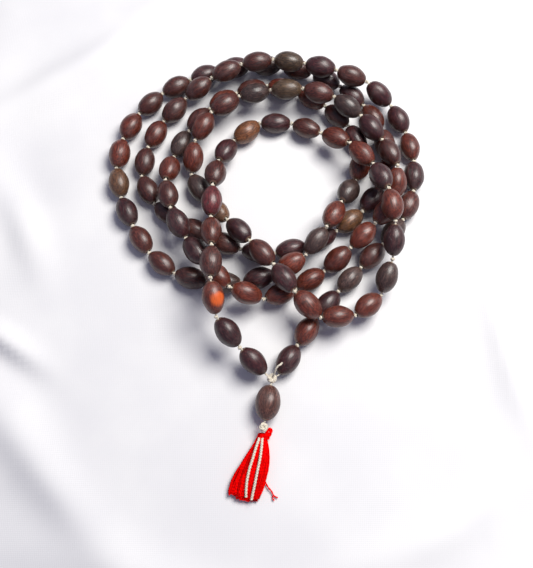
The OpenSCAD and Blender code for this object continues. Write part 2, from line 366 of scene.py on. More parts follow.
# %% Shared group: streaks along an axis
streaks, given, gives = new_group(
    "streaks",
    {"Place": ("NodeSocketVector", (0, 0, 0)), "Across": ("NodeSocketFloat", 3.0),
     "Along": ("NodeSocketFloat", 0.3), "Number": ("NodeSocketFloat", 0.0)},
    ["Fine", "Broad", "Blotch"])
stretch = put(streaks, "ShaderNodeCombineXYZ",
              feeds={0: given["Across"], 1: given["Across"], 2: given["Along"]})
place = vectors(streaks, "MULTIPLY", given["Place"], stretch)
shift = put(streaks, "ShaderNodeCombineXYZ", feeds={
    0: sums(streaks, "MULTIPLY", given["Number"], 3.7), 1: sums(streaks, "MULTIPLY", given["Number"], 1.9),
    2: sums(streaks, "MULTIPLY", given["Number"], 5.3)})
place = vectors(streaks, "ADD", place, shift)
fine = put(streaks, "ShaderNodeTexNoise", feeds={
    "Vector": place, "Scale": 1.0, "Detail": 5.0, "Roughness": 0.65})
broad = put(streaks, "ShaderNodeTexNoise", feeds={
    "Vector": vectors(streaks, "SCALE", place, 0.28), "Scale": 1.0, "Detail": 3.0, "Distortion": 0.4})
spot_place = vectors(streaks, "ADD", vectors(streaks, "SCALE", given["Place"], 0.22), shift)
blotch = put(streaks, "ShaderNodeTexNoise", feeds={
    "Vector": spot_place, "Scale": 1.0, "Detail": 4.0, "Roughness": 0.55})
for label, value in (("Fine", fine), ("Broad", broad), ("Blotch", blotch)):
    streaks.links.new(value, gives[label])

# %% Shared group: the slanting bands of a twisted cord
twist, given, gives = new_group(
    "twist",
    {"Place": ("NodeSocketVector", (0, 0, 0)), "Bands": ("NodeSocketFloat", 1.0),
     "Slant": ("NodeSocketFloat", 1.0)},
    ["Band", "Fibre"])
split = twist.nodes.new("ShaderNodeSeparateXYZ")
twist.links.new(given["Place"], split.inputs[0])
turn = sums(twist, "ADD", sums(twist, "MULTIPLY", split.outputs[0], given["Bands"]),
            sums(twist, "MULTIPLY", split.outputs[1], given["Slant"]))
band = sums(twist, "ABSOLUTE", sums(twist, "SINE", sums(twist, "MULTIPLY", turn, math.pi)))
fibre_place = put(twist, "ShaderNodeCombineXYZ", feeds={0: sums(twist, "MULTIPLY", turn, 9.0),
                                                        1: sums(twist, "MULTIPLY", split.outputs[1], 0.6)})
fibre = put(twist, "ShaderNodeTexNoise", feeds={"Vector": fibre_place, "Scale": 1.0, "Detail": 3.0})
twist.links.new(band, gives["Band"])
twist.links.new(fibre, gives["Fibre"])
print("shared groups:", [g.name for g in bpy.data.node_groups])

# %% [markdown]
# ### The seed coat
#
# A lotus seed has a thin, very hard coat. It is nearly black-brown with a purple cast, rubbed to a satin
# shine by handling, and finely streaked from end to end. Every seed has its own shade, so the shade is an
# attribute of the mesh, `shade`. Thin pale streaks, a dusty bloom in patches, short dark cracks and a paler
# ring round the hole come on top of it.

# %% Seed coat material
seed_coat, tree, shader = new_material("seed_coat", Coat_Weight=0.42, Coat_Roughness=0.27, IOR=1.5,
                                       Specular_IOR_Level=0.42)
place = field(tree, "seed_place")
seed_no = field(tree, "seed_number", "Fac")
marks = use_group(tree, streaks, Place=place, Across=2.6, Along=0.32, Number=seed_no)
shade = field(tree, "shade")
patch_tint = field(tree, "patch_tint")
light = vectors(tree, "SCALE", shade, 1.8)
dark = vectors(tree, "SCALE", shade, 0.27)
body = blend_colours(tree, ramp(tree, marks["Fine"], 0.36, 0.68), dark, light)
deep = vectors(tree, "SCALE", shade, 0.55)
body = blend_colours(tree, ramp(tree, marks["Broad"], 0.35, 0.7, 0.0, 0.6), body, deep)
pale_streak = ramp(tree, marks["Fine"], 0.58, 0.74, 0.0, 0.5)
body = blend_colours(tree, pale_streak, body, (0.170, 0.090, 0.068, 1))
bloom = ramp(tree, marks["Blotch"], 0.5, 0.72, 0.0, 0.24)
body = blend_colours(tree, bloom, body, (0.130, 0.085, 0.080, 1))

# %% Seed coat: a coloured patch on one side, the ring round each hole, and painted shade inside the hole
patch_at = field(tree, "patch_at")
near_patch = vectors(tree, "LENGTH", vectors(tree, "SUBTRACT", place, patch_at))
ragged = sums(tree, "ADD", near_patch, sums(tree, "MULTIPLY", marks["Blotch"], 3.2))
patch = ramp(tree, ragged, 3.6, 5.6, 1.0, 0.0)
patch = sums(tree, "MULTIPLY", patch, ramp(tree, marks["Fine"], 0.3, 0.6, 0.7, 1.0))
body = blend_colours(tree, patch, body, patch_tint)
cut = tree.nodes.new("ShaderNodeSeparateXYZ")
tree.links.new(place, cut.inputs[0])
out_from_axis = vectors(tree, "LENGTH", vectors(tree, "MULTIPLY", place, (1, 1, 0)))
end_ring = sums(tree, "MULTIPLY", ramp(tree, out_from_axis, 1.1, 1.9, 1.0, 0.0),
                ramp(tree, sums(tree, "ABSOLUTE", cut.outputs[2]), 5.6, 6.2))
body = blend_colours(tree, sums(tree, "MULTIPLY", end_ring, 0.75), body, (0.25, 0.155, 0.105, 1))
# Painted shade: the lining of the hole and the inner edge of its lip are darkened almost to black, where
# shade falls inside the hole.
hole_painted_shade = sums(tree, "MULTIPLY", ramp(tree, out_from_axis, 0.75, 0.98, 1.0, 0.0), 0.85)
body = blend_colours(tree, hole_painted_shade, body, (0.035, 0.02, 0.015, 1))

# %% Seed coat: cracks, shine and relief
crack_place = vectors(tree, "MULTIPLY", place, (0.75, 0.75, 0.16))
crack_shift = put(tree, "ShaderNodeCombineXYZ", feeds={0: sums(tree, "MULTIPLY", seed_no, 2.3), 1: seed_no})
crack = put(tree, "ShaderNodeTexVoronoi", {"feature": "DISTANCE_TO_EDGE"},
            {"Vector": vectors(tree, "ADD", crack_place, crack_shift), "Scale": 0.8})
crack_line = ramp(tree, crack, 0.008, 0.035, 1.0, 0.0)
crack_on = sums(tree, "MULTIPLY", crack_line, sums(tree, "MULTIPLY", field(tree, "cracked", "Fac"),
                                                   ramp(tree, marks["Broad"], 0.42, 0.55)))
body = blend_colours(tree, sums(tree, "MULTIPLY", crack_on, 0.85), body, (0.012, 0.007, 0.006, 1))
tree.links.new(body, shader.inputs["Base Color"])
rough = ramp(tree, marks["Blotch"], 0.35, 0.7, 0.33, 0.52)
rough = sums(tree, "ADD", rough, sums(tree, "MULTIPLY", marks["Fine"], 0.08))
tree.links.new(rough, shader.inputs["Roughness"])
relief = sums(tree, "ADD", sums(tree, "MULTIPLY", marks["Fine"], 0.55),
              sums(tree, "MULTIPLY", marks["Broad"], 0.7))
relief = sums(tree, "SUBTRACT", relief, sums(tree, "MULTIPLY", crack_on, 0.8))
bump = put(tree, "ShaderNodeBump", feeds={"Height": relief, "Strength": 0.6, "Distance": 0.00028})
tree.links.new(bump, shader.inputs["Normal"])
print("seed coat:", len(tree.nodes), "nodes")

# %% [markdown]
# ### Cotton
#
# The undyed cord is cream, matt and slightly fuzzy; the tassel is the same cotton dyed a strong red. Both are
# spun, so both carry the slanting bands. In the grooves between the yarns shade is painted in: each cotton
# darkens there to its second colour, the red to a deep crimson. On the tassel some whole locks are painted
# darker as the shade of the folds between them.

# %% Cotton materials
def cotton(name, light, dark, bands, slant, fuzz=0.5, sheen=0.3):
    material, tree, shader = new_material(name, Roughness=0.9, Sheen_Weight=sheen, Sheen_Roughness=0.5,
                                          Specular_IOR_Level=0.05)
    spun = use_group(tree, twist, Place=field(tree, "cord_place"), Bands=bands, Slant=slant)
    # Painted shade: the value read here darkens whole locks of tassel threads, standing in for the shade in
    # the folds between clumps, with a little tone that differs at random from thread to thread.
    painted_shade_and_tone = ramp(tree, field(tree, "thread_tone_and_painted_shade", "Fac"), 0.0, 1.0, 0.0, 0.8)
    # Painted shade: the cotton darkens towards its second colour in the grooves between the yarns, where
    # shade falls.
    groove = ramp(tree, spun["Band"], 0.0, 0.75, 1.0, 0.0)
    groove_painted_shade = sums(tree, "MULTIPLY", groove, 0.45)
    colour = blend_colours(tree, sums(tree, "MAXIMUM", groove_painted_shade, painted_shade_and_tone), light, dark)
    colour = blend_colours(tree, ramp(tree, spun["Fibre"], 0.45, 0.75, 0.0, fuzz), colour,
                           tuple(min(1, c * 1.15) for c in light[:3]) + (1,))
    tree.links.new(colour, shader.inputs["Base Color"])
    high = sums(tree, "ADD", spun["Band"], sums(tree, "MULTIPLY", spun["Fibre"], 0.5))
    bump = put(tree, "ShaderNodeBump", feeds={"Height": high, "Strength": 0.6, "Distance": 0.0002})
    tree.links.new(bump, shader.inputs["Normal"])
    return material


# The second colour of each cotton is painted shade: it shows in the yarn grooves and, on the tassel, in the
# darker locks.
cream_cotton = cotton("cream_cotton", (0.72, 0.66, 0.54, 1), (0.40, 0.33, 0.24, 1), 2.0, 1.0)
red_cotton = cotton("red_cotton", (0.94, 0.0, 0.0, 1), (0.34, 0.0, 0.0, 1), 1.0, 0.5, 0.2, 0.0)
print("cotton:", cream_cotton.name, red_cotton.name)

# %% [markdown]
# ## Cord
#
# The stringing cord is two yarns twisted together. One tree makes every cord here: it takes a line of
# points, lays a ring of corners round it, pulls the ring in between the yarns, and turns it as it goes, so
# that the yarns really wind round each other. It also notes where each corner is, round and along, for
# the cotton's bands.

# %% Cord tree
cord_tree, given = new_tree("twisted cord", {
    "Radius": ("NodeSocketFloat", 0.0005), "Yarns": ("NodeSocketInt", 2),
    "Turns per mm": ("NodeSocketFloat", 0.3), "Ring step": ("NodeSocketFloat", 0.0005),
    "Sides": ("NodeSocketInt", 12), "Depth": ("NodeSocketFloat", 0.28),
    "Material": ("NodeSocketMaterial", None)})
t = cord_tree
path = put(t, "GeometryNodeMeshToCurve", feeds={"Mesh": given["Geometry"]})
path = put(t, "GeometryNodeResampleCurve", {"mode": "LENGTH"}, {"Curve": path, "Length": given["Ring step"]})
run = put(t, "GeometryNodeSplineParameter", out=1)
turn = sums(t, "MULTIPLY", sums(t, "MULTIPLY", run, 1000 * 2 * math.pi), given["Turns per mm"])
path = put(t, "GeometryNodeSetCurveTilt", feeds={"Curve": path, "Tilt": turn})
path = put(t, "GeometryNodeStoreNamedAttribute", {"data_type": "FLOAT", "domain": "POINT"},
           {"Geometry": path, "Name": "run", "Value": run})
ring = put(t, "GeometryNodeCurvePrimitiveCircle", feeds={"Resolution": given["Sides"], "Radius": 1.0})
spot = put(t, "GeometryNodeInputPosition")
axes = t.nodes.new("ShaderNodeSeparateXYZ")
t.links.new(spot, axes.inputs[0])
angle = sums(t, "ARCTAN2", axes.outputs[1], axes.outputs[0])
ring = put(t, "GeometryNodeStoreNamedAttribute", {"data_type": "FLOAT", "domain": "POINT"},
           {"Geometry": ring, "Name": "round", "Value": angle})
yarn_angle = sums(t, "MULTIPLY", sums(t, "MULTIPLY", angle, given["Yarns"]), 0.5)
lobe = sums(t, "ABSOLUTE", sums(t, "COSINE", yarn_angle))
size = sums(t, "MULTIPLY", given["Radius"],
            sums(t, "SUBTRACT", 1.0, sums(t, "MULTIPLY", given["Depth"], sums(t, "SUBTRACT", 1.0, lobe))))
ring = put(t, "GeometryNodeSetPosition", feeds={
    "Geometry": ring, "Position": vectors(t, "SCALE", spot, size)})
body = put(t, "GeometryNodeCurveToMesh", feeds={"Curve": path, "Profile Curve": ring, "Fill Caps": True})
told = put(t, "ShaderNodeCombineXYZ", feeds={
    0: sums(t, "DIVIDE", put(t, "GeometryNodeInputNamedAttribute", {"data_type": "FLOAT"}, {"Name": "round"}),
            2 * math.pi),
    1: sums(t, "MULTIPLY", put(t, "GeometryNodeInputNamedAttribute", {"data_type": "FLOAT"}, {"Name": "run"}),
            2000.0)})
body = put(t, "GeometryNodeStoreNamedAttribute", {"data_type": "FLOAT_VECTOR", "domain": "POINT"},
           {"Geometry": body, "Name": "cord_place", "Value": told})
body = put(t, "GeometryNodeSetShadeSmooth", feeds={"Geometry": body})
end_tree(t, body, given["Material"])
print("cord tree:", len(t.nodes), "nodes")

# %% The stringing cord
gather_low, gather_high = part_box("gathering_knot")
gather_at = (np.array(gather_low) + np.array(gather_high)) / 2
gather_r = (gather_high[2] - gather_low[2]) / 2


def beside_gathering_knot(knot):
    """The strand's end: just clear of the gathering knot, which swings."""
    toward = knot - gather_at
    return gather_at + (gather_r + SLACK) * toward / np.linalg.norm(toward)


strand_path = np.vstack([beside_gathering_knot(knots[0]), knots, beside_gathering_knot(knots[-1])])
strand_cord = grow("strand_cord_twisted", line("strand", strand_path), cord_tree, {
    "Radius": 0.0005, "Yarns": 2, "Turns per mm": 0.25, "Ring step": 0.0008, "Sides": 10,
    "Material": cream_cotton})
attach(strand_cord, "strand")
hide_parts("strand_cord")

# %% [markdown]
# ## The seeds
#
# A drilled lotus seed is an egg with a small raised lip round the hole at each end. Its outline is drawn once
# and turned round the hole's axis, as on a lathe, into one closed skin that also lines the hole.
#
# A tree then stands a copy at every seed's place, turned along the cord, and scales it to that seed's own
# length and width. A noise that differs from seed to seed presses shallow dents into the skin, which
# keeps the seeds from looking machined. It never pushes outwards.

# %% One seed, standing on its hole
SEED_OUTLINE = [
    (0.17, -0.955), (0.20, -0.985), (0.255, -0.99), (0.315, -0.965), (0.40, -0.94), (0.50, -0.885),
    (0.61, -0.80), (0.72, -0.69), (0.82, -0.55), (0.90, -0.40), (0.965, -0.22), (0.99, -0.02),
    (0.97, 0.18), (0.915, 0.36), (0.84, 0.51), (0.745, 0.64), (0.635, 0.76), (0.52, 0.86), (0.41, 0.93),
    (0.315, 0.965), (0.255, 0.99), (0.20, 0.985), (0.17, 0.955), (0.165, 0.0),
]


def turned_skin(name, outline, sides):
    """A closed skin from (radius, height) pairs, as shares of a usual seed's half width and half length."""
    corners, faces = [], []
    for r, z in outline:
        for k in range(sides):
            q = 2 * math.pi * k / sides
            out = r * SEED_WIDE / 2
            corners.append((out * math.cos(q), out * math.sin(q), z * SEED_LONG / 2))
    rings = len(outline)
    for i in range(rings):
        for k in range(sides):
            a, b = i * sides + k, i * sides + (k + 1) % sides
            c, d = (i + 1) % rings * sides + (k + 1) % sides, (i + 1) % rings * sides + k
            faces.append((a, b, c, d))
    mesh = bpy.data.meshes.new(name)
    mesh.from_pydata(corners, [], faces)
    told = mesh.attributes.new("seed_place", "FLOAT_VECTOR", "POINT")
    told.data.foreach_set("vector", (np.array(corners) * 1000).ravel())
    return mesh


seed_pattern = bpy.data.objects.new("seed_pattern", turned_skin("seed_pattern", SEED_OUTLINE, 32))
print("one seed:", len(seed_pattern.data.polygons), "faces")

# %% Seed tree
DENT, DENT_SIZE = 0.00016, 0.26
seed_tree, given = new_tree("seeds on a cord", {
    "Seed": ("NodeSocketObject", None), "Dent": ("NodeSocketFloat", DENT),
    "Dent size": ("NodeSocketFloat", DENT_SIZE), "Material": ("NodeSocketMaterial", None)})
t = seed_tree
one = put(t, "GeometryNodeObjectInfo", feeds={"Object": given["Seed"]}, out="Geometry")
turn = put(t, "GeometryNodeInputNamedAttribute", {"data_type": "FLOAT_VECTOR"}, {"Name": "turn"})
turn = put(t, "FunctionNodeEulerToRotation", feeds={0: turn})
size = put(t, "GeometryNodeInputNamedAttribute", {"data_type": "FLOAT_VECTOR"}, {"Name": "size"})
body = put(t, "GeometryNodeInstanceOnPoints", feeds={
    "Points": put(t, "GeometryNodeMeshToPoints", feeds={"Mesh": given["Geometry"]}), "Instance": one,
    "Rotation": turn, "Scale": size})
body = put(t, "GeometryNodeRealizeInstances", feeds={"Geometry": body})
told = put(t, "GeometryNodeInputNamedAttribute", {"data_type": "FLOAT_VECTOR"}, {"Name": "seed_place"})
seed_no = put(t, "GeometryNodeInputNamedAttribute", {"data_type": "FLOAT"}, {"Name": "seed_number"})
bump_place = vectors(t, "ADD", vectors(t, "MULTIPLY", told, (1, 1, 0.6)), sums(t, "MULTIPLY", seed_no, 7.3))
bumps = put(t, "ShaderNodeTexNoise", feeds={
    "Vector": bump_place, "Scale": given["Dent size"], "Detail": 2.0})
push = sums(t, "MULTIPLY", sums(t, "SUBTRACT", bumps, 0.62), sums(t, "MULTIPLY", given["Dent"], 5.0))
push = sums(t, "MINIMUM", push, 0.0)
body = put(t, "GeometryNodeSetPosition", feeds={
    "Geometry": body, "Offset": vectors(t, "SCALE", put(t, "GeometryNodeInputNormal"), push)})
body = put(t, "GeometryNodeSetShadeSmooth", feeds={"Geometry": body})
end_tree(t, body, given["Material"])
print("seed tree:", len(t.nodes), "nodes")

# %% [markdown]
# ### A shade for every seed
#
# Most seeds are a dark purplish or reddish brown. About a quarter are drawn redder and an eighth greyer.
# A fixed random draw gives each its shade, and the seeds that stand out are named one by one, among them
# the few tan ones. One has a bright orange patch where the outer skin has worn through.

# %% Shades
PLUM, BROWN, RUST = (0.044, 0.010, 0.011), (0.066, 0.0165, 0.0115), (0.115, 0.021, 0.010)
GREY, OLIVE, TAN = (0.056, 0.031, 0.026), (0.078, 0.046, 0.024), (0.130, 0.058, 0.026)
CRIMSON, AMBER = (0.110, 0.018, 0.020), (0.185, 0.066, 0.024)
PATCHED_SEED, CRACKED_SEED = 3, 21
draw = np.random.default_rng(11)
shades = [(PLUM, PLUM, BROWN, BROWN, RUST, BROWN, GREY, RUST)[k] for k in draw.integers(0, 8, N_SEEDS)]
stand_out = {
    AMBER: (9,), TAN: (66, 24, 81), OLIVE: (95, 30), GREY: (25,), CRIMSON: (6,),
    RUST: (3, 46, 26, 68, 38, 39, 18, 35, 107), PLUM: (21,)}
for colour, seed_numbers in stand_out.items():
    for n in seed_numbers:
        shades[n - 1] = colour
shades = np.array(shades) * (1 + 0.13 * draw.standard_normal((N_SEEDS, 1))).clip(0.7, 1.3)
cracked = np.where(draw.random(N_SEEDS) < 0.3, 0.8, 0.12)
cracked[CRACKED_SEED - 1] = 1.0
print("darkest and lightest red value:", shades[:, 0].min().round(3), shades[:, 0].max().round(3))

# %% Place and turn of each seed
def turn_along(direction, roll):
    f = Vector(direction).normalized()
    lie = Matrix.Rotation(math.atan2(f.y, f.x), 3, "Z") @ Matrix.Rotation(math.acos(f.z), 3, "Y")
    return lie @ Matrix.Rotation(roll, 3, "Z")


WIDE, LONG = 1.03, 1.045  # a little fuller than the solid: the dents take some away, and the seeds sit close
ORANGE = (0.62, 0.10, 0.010)
PATCH_SIDE = Vector((2.4, -2.0, 3.5))  # from the seed's middle, along the table's axes, in mm
NO_PATCH = (40, 0, 0)  # so far off that it never shows


def seed_dots(name, numbers):
    at, turns, sizes, patches, tints = [], [], [], [], []
    for n in numbers:
        a, b = knots[n - 1], knots[n]
        m = turn_along(b - a, math.radians(137.5 * n))
        at.append((a + b) / 2)
        turns.append(m.to_euler())
        wide, long = WIDE * seed_wide[n - 1] / SEED_WIDE, LONG * seed_long[n - 1] / SEED_LONG
        sizes.append((wide, wide, long))
        patches.append(m.transposed() @ PATCH_SIDE if n == PATCHED_SEED else NO_PATCH)
        tints.append(ORANGE)
    picks = [n - 1 for n in numbers]
    return dots(name, at, turn=turns, size=sizes, patch_at=patches, patch_tint=tints, seed_number=picks,
                shade=shades[picks], cracked=cracked[picks])


# %% Grow the seeds
def grow_seeds(name, numbers, body, *stands_for):
    ob = grow(name, seed_dots(name, numbers), seed_tree, {
        "Seed": seed_pattern, "Dent": DENT, "Dent size": DENT_SIZE, "Material": seed_coat})
    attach(ob, body)
    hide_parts(*stands_for)
    return ob


seed_faces = 0
for n in range(1, OWN_BODY + 1):
    ob = grow_seeds(f"seed_{n:02d}_coat", [n], f"bead_{n:02d}", f"seed_{n:02d}")
    seed_faces += len(ob.data.polygons)
for first in range(OWN_BODY + 1, N_SEEDS + 1, GROUP):
    tag = f"seeds_{first}_{first + GROUP - 1}"
    ob = grow_seeds(tag + "_coats", list(range(first, first + GROUP)), "strand", tag)
    seed_faces += len(ob.data.polygons)
print("seeds:", seed_faces, "faces")

# %% [markdown]
# ## The knots between the seeds
#
# After every seed the cord is tied in an overhand knot, which keeps the seeds apart. Pulled tight it is a
# small ball of three crossings, a trefoil. One such knot is made from the cord tree with few sides, and a
# second tree puts it at each of the 107 places.

# %% One tight knot
def trefoil(wide, deep, steps, lobes=3, laps=2):
    q = np.linspace(0, 2 * math.pi, steps + 1)
    r = wide + deep * np.cos(lobes * q)
    return np.column_stack([r * np.cos(laps * q), r * np.sin(laps * q), deep * 1.25 * np.sin(lobes * q)])


small_knot = grow("small_knot", line("small_knot", trefoil(0.00040, 0.00020, 40)), cord_tree, {
    "Radius": 0.00045, "Yarns": 2, "Turns per mm": 0.2, "Ring step": 0.00025, "Sides": 6, "Depth": 0.12,
    "Material": cream_cotton})
print("one knot:", len(small_knot.data.polygons), "faces")

# %% Knot tree
knot_tree, given = new_tree("knots on a cord", {
    "Knot": ("NodeSocketObject", None), "Size": ("NodeSocketFloat", 1.0), "Seed": ("NodeSocketInt", 3),
    "Material": ("NodeSocketMaterial", None)})
t = knot_tree
one = put(t, "GeometryNodeObjectInfo", feeds={"Object": given["Knot"]}, out="Geometry")
turn = put(t, "GeometryNodeInputNamedAttribute", {"data_type": "FLOAT_VECTOR"}, {"Name": "turn"})
turn = put(t, "FunctionNodeEulerToRotation", feeds={0: turn})
vary_size = put(t, "FunctionNodeRandomValue", {"data_type": "FLOAT"},
                {2: 0.94, 3: 1.04, "Seed": given["Seed"]}, out=1)
body = put(t, "GeometryNodeInstanceOnPoints", feeds={
    "Points": put(t, "GeometryNodeMeshToPoints", feeds={"Mesh": given["Geometry"]}), "Instance": one,
    "Rotation": turn, "Scale": sums(t, "MULTIPLY", vary_size, given["Size"])})
end_tree(t, body, given["Material"])

# %% Grow the knots
ways = [knots[k + 1] - knots[k - 1] for k in range(1, N_SEEDS)]
turns = [turn_along(w, math.radians(97 * k)).to_euler() for k, w in enumerate(ways)]
strand_knots = grow("strand_knots_tied", dots("strand_knots", knots[1:-1], turn=turns), knot_tree, {
    "Knot": small_knot, "Size": 1.0, "Seed": 3, "Material": cream_cotton})
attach(strand_knots, "strand")
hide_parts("strand_knots")
print("knots:", len(strand_knots.data.polygons), "faces")

# %% [markdown]
# ## The pendant: gathering knot, guru seed and lower knot
#
# Both ends of the strand are tied in one fat knot. Its short cut end curls up and shows that it was made
# by hand. Below it hangs the guru seed, the largest of all, and another knot closes it off. Each fat knot
# is the same cord wound three times round itself.
#
# The pendant cord, the knot's tail and the cord ends on the tassel are each shorter than 30 mm. A piece
# that short isn't declared as a cord; it is shaped from the same tree and moves stiffly with its body.

# %% Fat knots
def fat_knot(name, at, radius, body, node, lobes, laps):
    run = trefoil(0.52 * radius, 0.21 * radius, 120, lobes, laps)
    run = np.vstack([run[0] * 0.2, run, run[-1] * 0.2])
    run = np.array([at + Vector(p) for p in run])
    ob = grow(name, line(name, run), cord_tree, {
        "Radius": 0.29 * radius, "Yarns": 2, "Turns per mm": 0.3, "Ring step": 0.00022, "Sides": 12,
        "Depth": 0.22, "Material": cream_cotton})
    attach(ob, body)
    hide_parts(node)


def middle_of(node):
    low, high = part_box(node)
    return (Vector(low) + Vector(high)) / 2


gather = middle_of("gathering_knot")
lower_at = middle_of("lower_knot")
lower_r = (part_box("lower_knot")[1][2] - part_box("lower_knot")[0][2]) / 2
fat_knot("gathering_knot_tied", gather, gather_r, "gathering", "gathering_knot", 5, 3)
fat_knot("lower_knot_tied", lower_at, lower_r, "lower_knot", "lower_knot", 4, 3)
print("fat knots", round(gather_r * 2000, 1), "and", round(lower_r * 2000, 1), "mm across")

# %% The curled end of the gathering knot
TAIL_RUN = [(0.6, 0.8, 1.2), (1, 1.6, 2.4), (1.3, 2.4, 3.6), (1.8, 3.3, 4.6), (2.6, 4.1, 5.1),
            (3.5, 4.6, 5.2), (4.1, 5.4, 5)]


def cord_piece(name, points, radius, body, slot, material, *stands_for, turns=0.3, sides=10):
    ob = grow(name, line(name, points), cord_tree, {
        "Radius": radius, "Yarns": 2, "Turns per mm": turns, "Ring step": 0.0004, "Sides": sides,
        "Depth": 0.3, "Material": material})
    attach(ob, body)
    if stands_for:
        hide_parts(*stands_for)


tail_points = smooth_curve(np.array([gather + Vector(v) * (gather_r / 2.1) for v in TAIL_RUN]), 5)
cord_piece("knot_tail_curl", tail_points, 0.00045, "gathering", "cord", cream_cotton, "knot_tail")

# %% Pendant cord and guru seed
pend_way = (lower_at - gather).normalized()
pendant_run = [gather + pend_way * (gather_r + SLACK), lower_at - pend_way * (lower_r + SLACK)]
cord_piece("pendant_cord_twisted", pendant_run, 0.0005, "pendant", "cord", cream_cotton, "pendant_cord")

GURU_LONG, GURU_WIDE = 0.0144, 0.0108
guru_at = middle_of("guru_seed")
m = turn_along(pend_way, 0.0)
guru_size = (GURU_WIDE / SEED_WIDE, GURU_WIDE / SEED_WIDE, GURU_LONG / SEED_LONG)
guru_dots = dots("guru", [guru_at], turn=[m.to_euler()], size=[guru_size], patch_at=[NO_PATCH],
                 patch_tint=[ORANGE], seed_number=[211], shade=[(0.100, 0.040, 0.029)], cracked=[0.35])
guru = grow("guru_seed_coat", guru_dots, seed_tree, {
    "Seed": seed_pattern, "Dent": DENT, "Dent size": DENT_SIZE, "Material": seed_coat})
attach(guru, "guru")
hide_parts("guru_seed")
print("guru seed", len(guru.data.polygons), "faces at", [round(v * 1000, 1) for v in guru_at])

# %% [markdown]
# ## The tassel
#
# The tassel is a bundle of a few hundred red cotton threads, folded over the cord and lying flat on the
# table. Its outline is a short table: how far it drifts to the side, where along its length, how wide and
# how thick. Threads start close together in the neck and fan out. They aren't even: they cling together
# in locks, so each thread is pulled towards the middle of its lock, and the cut ends don't line up: those
# on the left stop a little sooner.

# %% Tassel outline
TASSEL_LONG, TASSEL_THICK = 0.0257, 0.0046
TASSEL_FORM = np.array([
    (-0.4, 0, 1.5, 0.62), (-0.9, 0.1, 2.3, 0.8), (-1.6, 0.22, 4, 0.95), (-2.8, 0.38, 5.6, 1),
    (-4.6, 0.56, 7, 0.95), (-6.2, 0.74, 7.6, 0.85), (-7.2, 0.88, 7, 0.7), (-7.7, 1, 5.8, 0.55)])


def tassel_at(u, across, high):
    """A point in the bundle: u down its length, across from -1 to 1, high from 0 to 1."""
    rows = np.arange(len(TASSEL_FORM))
    row = np.clip(u, 0, 1) * rows[-1]
    side, down, half, thick = (np.interp(row, rows, TASSEL_FORM[:, k]) for k in range(4))
    down = down + np.maximum(np.asarray(u) - 1, 0) * 0.9
    low = 0.0016 * np.maximum(1 - 4 * np.asarray(u), 0) ** 2
    x = lower_at.x + 0.001 * (side + half * across)
    y = lower_at.y - 0.0022 - TASSEL_LONG * down
    z = low + TASSEL_THICK * thick * high
    return np.column_stack(np.broadcast_arrays(x, y, z))

# %% Threads
def tassel_threads(count, locks, seed):
    draw = np.random.default_rng(seed)
    lock_across = draw.uniform(-0.95, 0.95, locks)
    lock_high = draw.uniform(0.1, 0.9, locks)
    # Painted shade: a few locks are drawn dark as a whole, standing in for the shade in the folds between
    # clumps.
    lock_painted_shade = draw.random(locks) ** 2.5
    lock_end = draw.uniform(-0.07, 0.03, locks)
    points, edges, tone = [], [], []
    stops = 16
    u = np.linspace(0, 1, stops)
    for _ in range(count):
        k = draw.integers(locks)
        q, r = draw.uniform(0, 2 * math.pi), math.sqrt(draw.random())
        across, high = r * math.cos(q), 0.5 + 0.5 * r * math.sin(q)
        cling = 0.8 * u**1.3
        way = across * (1 - cling) + (lock_across[k] + 0.10 * across) * cling
        room = np.sqrt(np.maximum(1 - way**2, 0.02))
        level = high * (1 - cling) + (lock_high[k] + 0.16 * (high - 0.5)) * cling
        level = 0.5 + (level - 0.5) * room
        level = level.clip(0.07, 0.93)
        wave = 0.05 * np.sin(2 * math.pi * (u * draw.uniform(0.7, 1.8) + draw.random())) * u
        reach_end = draw.uniform(0.95, 1.0) + lock_end[k] - 0.13 * max(0.0, -lock_across[k])
        run = tassel_at(u * reach_end, way + wave, level)
        edges += [(len(points) + i, len(points) + i + 1) for i in range(stops - 1)]
        points += [tuple(p) for p in run]
        # Each thread's colour value: its lock's painted shade and a little tone that differs at random.
        tone += [min(1.0, 0.95 * lock_painted_shade[k] + 0.12 * draw.random())] * stops
    mesh = bpy.data.meshes.new("tassel_threads")
    mesh.from_pydata(points, edges, [])
    mesh.attributes.new("thread_tone_and_painted_shade", "FLOAT", "POINT").data.foreach_set("value", tone)
    return mesh


tassel = grow("tassel_threads", tassel_threads(380, 22, 5), cord_tree, {
    "Radius": 0.00038, "Yarns": 2, "Turns per mm": 0.2, "Ring step": 0.0011, "Sides": 6, "Depth": 0.12,
    "Material": red_cotton})
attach(tassel, "tassel")
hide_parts("tassel_skirt")
print("tassel:", len(tassel.data.polygons), "faces")

# %% Cord ends on the tassel
def cord_end(name, near, far, final, node):
    """An end of the pendant cord: it leaves the lower knot under the neck's threads, then lies on top."""
    u = np.linspace(0.06, final, 15)
    off = np.linspace(near, far, 15)
    top = tassel_at(u, off, 0.3 + 0.7 * np.sqrt(1 - off**2))
    top[:, 2] += 0.0005 - 0.0024 * np.maximum(0, 1 - u / 0.16)
    leave = np.array([lower_at.x + 0.0006 * near, lower_at.y - 0.0020, top[0, 2] - 0.0002])
    top = np.vstack([leave, top])
    cord_piece(name, smooth_curve(top, 3), 0.0006, "tassel", "twist", cream_cotton, node, turns=0.4, sides=14)


cord_end("cord_end_left_twisted", -0.5, 0.1, 0.95, "cord_end_left")
cord_end("cord_end_right_twisted", 0.1, 0.5, 1.0, "cord_end_right")

